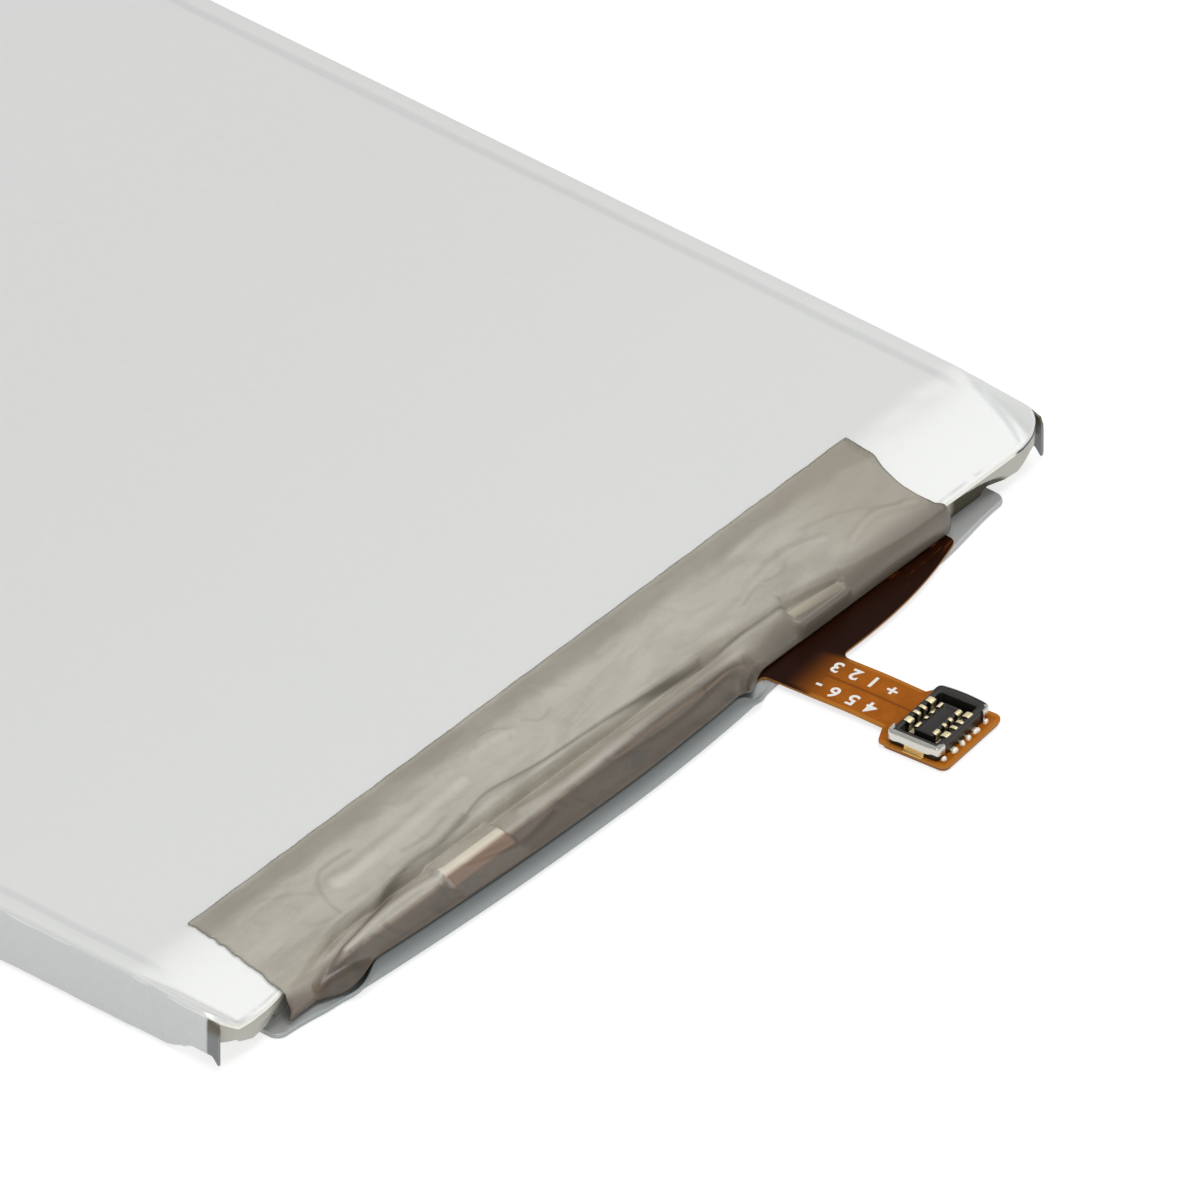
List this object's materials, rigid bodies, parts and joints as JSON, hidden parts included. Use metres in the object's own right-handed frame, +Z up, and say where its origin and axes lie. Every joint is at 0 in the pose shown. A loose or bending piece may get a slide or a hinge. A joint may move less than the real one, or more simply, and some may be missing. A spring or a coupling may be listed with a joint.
{
  "type": "pouch battery",
  "caption": "Flat lithium-polymer pouch battery with a taped protection board at one end and a short flexible tail that carries a board-to-board receptacle.",
  "frame": {"origin": "centre of the pouch's flat underside", "axes": "+Z up, through the thickness; the long side runs along Y and the terminals face -Y; +X runs along the terminal edge"},
  "size_m": [0.0684, 0.0969, 0.0037],
  "materials": {
    "pouch": "satin aluminium laminate film",
    "tape": "thin crumpled translucent tape",
    "flex": "amber polyimide film",
    "stiffener": "polyimide plate",
    "receptacle": "moulded black plastic",
    "gilt": "gold-plated copper alloy",
    "nickel": "nickel",
    "board": "solder-masked board",
    "film": "insulating film",
    "moulding": "moulded black epoxy",
    "chip": "ceramic"
  },
  "bodies": {
    "root": {"pouch_cell": "pouch", "end_tape": "tape", "flex_circuit": "flex", "flex_stiffener": "stiffener", "connector_housing": "receptacle", "power_contact_1": "gilt", "power_contact_2": "gilt", "power_contact_3": "gilt", "power_contact_4": "gilt", "signal_contact_1": "gilt", "signal_contact_2": "gilt", "signal_contact_3": "gilt", "signal_contact_4": "gilt", "hold_down_near": "nickel", "hold_down_far": "nickel", "protection_board": "board", "board_insulation": "film", "positive_tab": "nickel", "negative_tab": "nickel", "positive_tab_film": "film", "negative_tab_film": "film", "positive_weld_plate": "nickel", "negative_weld_plate": "nickel", "thermal_fuse": "moulding", "gauge_ic": "moulding", "protection_ic": "moulding", "mosfet_left": "moulding", "mosfet_right": "moulding", "sense_resistor": "chip", "gate_resistor": "chip", "filter_capacitor": "chip", "supply_capacitor": "chip", "thermistor": "chip"}
  },
  "joints": []
}
